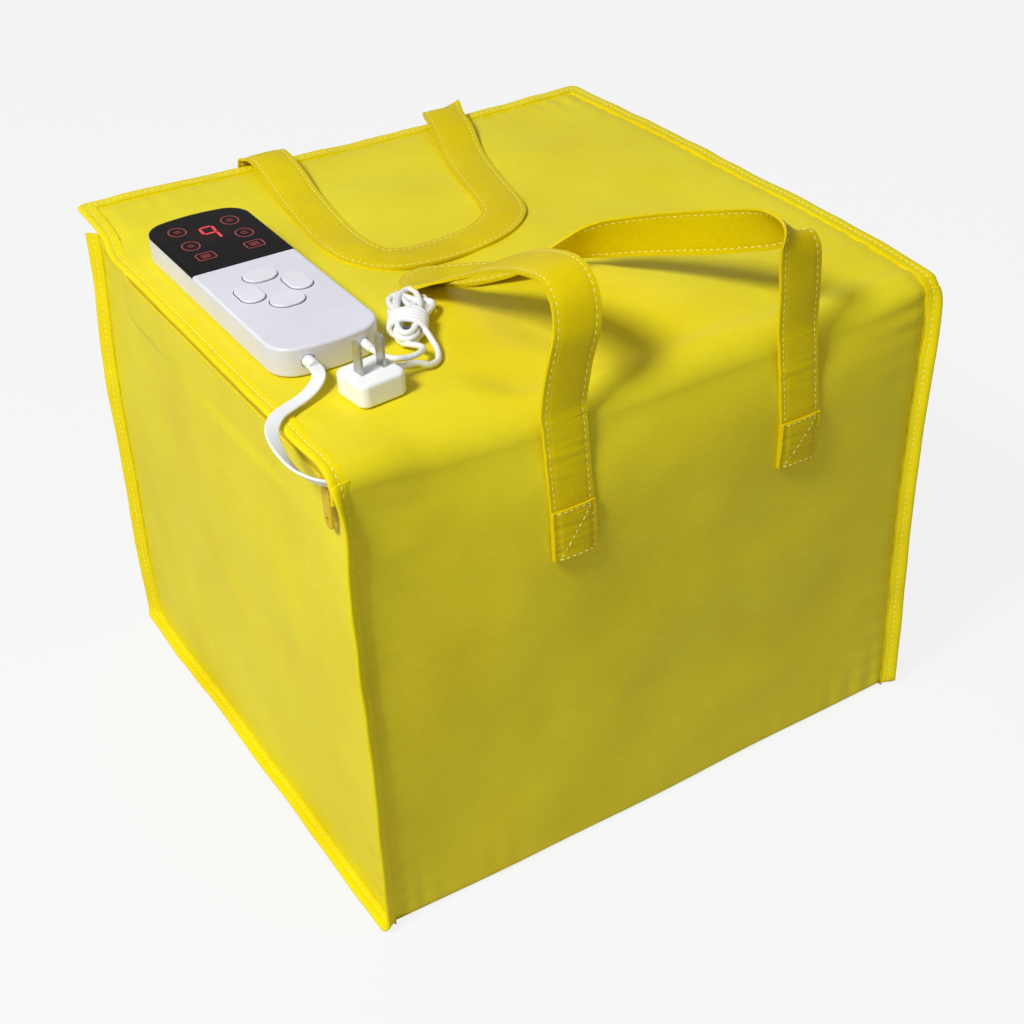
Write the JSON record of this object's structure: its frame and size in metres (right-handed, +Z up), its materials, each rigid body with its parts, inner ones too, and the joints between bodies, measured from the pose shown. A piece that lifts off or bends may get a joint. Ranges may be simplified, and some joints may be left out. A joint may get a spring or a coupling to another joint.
{
  "type": "folding dough proofer",
  "caption": "Soft insulated box bag with a heated pad inside, a zipped lid, strap handles and a button handset on a lead.",
  "frame": {"origin": "middle of the underside of the floor", "axes": "+Z up; +X along the near wall to the right; +Y from the near wall to the far wall"},
  "size_m": [0.3756, 0.3615, 0.3523],
  "materials": {
    "yellow_cloth": "yellow non-woven cloth, matte",
    "foam": "white foam sheet",
    "silver_lining": "silver foil lining",
    "yellow_binding": "bright yellow woven binding",
    "zip_tape": "yellow woven zip tape",
    "zip_teeth": "yellow plastic coil",
    "zip_metal": "amber painted metal",
    "yellow_strap": "yellow strap, stitched",
    "pad_cloth": "pale pad cover",
    "heating_wire": "silicone covered wire",
    "cutout": "metal can",
    "probe_bead": "epoxy bead",
    "white_lead": "white flexible sheath",
    "white_gland": "white soft strain relief",
    "handset_shell": "white satin plastic",
    "black_window": "glossy black window",
    "digit_block": "dark red display block",
    "lamp": "small indicator lamp",
    "board": "green circuit board",
    "relay_case": "black relay case",
    "key_rubber": "grey rubber",
    "screw_steel": "zinc plated steel",
    "button_white": "white satin plastic",
    "plug_white": "white moulded plug",
    "pin_metal": "plated metal pins"
  },
  "bodies": {
    "root": {"floor_panel": "yellow_cloth", "floor_foam": "foam", "floor_liner": "silver_lining", "front_panel": "yellow_cloth", "front_foam": "foam", "front_liner": "silver_lining", "far_panel": "yellow_cloth", "far_foam": "foam", "far_liner": "silver_lining", "left_panel": "yellow_cloth", "left_foam": "foam", "left_liner": "silver_lining", "right_panel": "yellow_cloth", "right_foam": "foam", "right_liner": "silver_lining", "left_binding": "yellow_binding", "right_binding": "yellow_binding", "near_handle_ends": "yellow_strap", "far_handle_ends": "yellow_strap", "inner_lead": "white_lead", "pad_cover": "pad_cloth", "heating_wire": "heating_wire", "thermal_cutout": "cutout", "temperature_probe": "probe_bead"},
    "rim": {"zip_tape_lower": "zip_tape", "zip_teeth_lower": "zip_teeth"},
    "lid": {"circuit_board": "board", "control_lead": "white_lead", "control_lead_gland": "white_gland", "digit_display": "digit_block", "display_window": "black_window", "handset_bottom_shell": "handset_shell", "handset_screws": "screw_steel", "handset_top_shell": "handset_shell", "indicator_lamps": "lamp", "key_membrane": "key_rubber", "lid_binding": "yellow_binding", "lid_foam": "foam", "lid_liner": "silver_lining", "lid_panel": "yellow_cloth", "mains_lead": "white_lead", "mains_lead_gland": "white_gland", "mains_lead_hank": "white_lead", "plug_body": "plug_white", "plug_pins": "pin_metal", "relay": "relay_case", "zip_tape_upper": "zip_tape", "zip_teeth_upper": "zip_teeth"},
    "near_handle": {"near_handle_loop": "yellow_strap"},
    "far_handle": {"far_handle_loop": "yellow_strap"},
    "slider": {"zip_slider": "zip_metal"},
    "pull": {"zip_pull": "zip_metal"},
    "button_up": {"button_up": "button_white"},
    "button_down": {"button_down": "button_white"},
    "button_left": {"button_left": "button_white"},
    "button_right": {"button_right": "button_white"}
  },
  "joints": [
    {"name": "bag_fold", "type": "slide", "parent": "root", "child": "rim", "axis": [0, 0, -1], "range_m": [0, 0.215], "deforming": ["front_panel", "front_foam", "front_liner", "far_panel", "far_foam", "far_liner", "left_panel", "left_foam", "left_liner", "right_panel", "right_foam", "right_liner", "left_binding", "right_binding", "near_handle_ends", "far_handle_ends", "inner_lead"]},
    {"name": "lid_open", "type": "hinge", "parent": "rim", "child": "lid", "pos_m": [0, -0.171, 0.284], "axis": [1, 0, 0], "range_deg": [0, 105]},
    {"name": "near_handle_swing", "type": "hinge", "parent": "lid", "child": "near_handle", "pos_m": [0, -0.1722, 0.284], "axis": [1, 0, 0], "range_deg": [0, 70], "deforming": ["near_handle_loop"]},
    {"name": "far_handle_swing", "type": "hinge", "parent": "rim", "child": "far_handle", "pos_m": [0, 0.1803, 0.2914], "axis": [-1, 0, 0], "range_deg": [0, 205], "deforming": ["far_handle_loop"]},
    {"name": "zip_slide", "type": "slide", "parent": "rim", "child": "slider", "axis": [0, 1, 0], "range_m": [0, 0.3]},
    {"name": "zip_pull_swing", "type": "hinge", "parent": "slider", "child": "pull", "pos_m": [-0.1797, -0.157, 0.2845], "axis": [0, 1, 0], "range_deg": [0, 90]},
    {"name": "button_up_press", "type": "slide", "parent": "lid", "child": "button_up", "axis": [0, 0, -1], "range_m": [0, 0.0008], "stiffness_N_per_m": 400, "springref_m": -0.001},
    {"name": "button_down_press", "type": "slide", "parent": "lid", "child": "button_down", "axis": [0, 0, -1], "range_m": [0, 0.0008], "stiffness_N_per_m": 400, "springref_m": -0.001},
    {"name": "button_left_press", "type": "slide", "parent": "lid", "child": "button_left", "axis": [0, 0, -1], "range_m": [0, 0.0008], "stiffness_N_per_m": 400, "springref_m": -0.001},
    {"name": "button_right_press", "type": "slide", "parent": "lid", "child": "button_right", "axis": [0, 0, -1], "range_m": [0, 0.0008], "stiffness_N_per_m": 400, "springref_m": -0.001}
  ],
  "couplings": [
    {"joint": "far_handle_swing", "follows": "lid_open", "ratio": 1.9524}
  ]
}
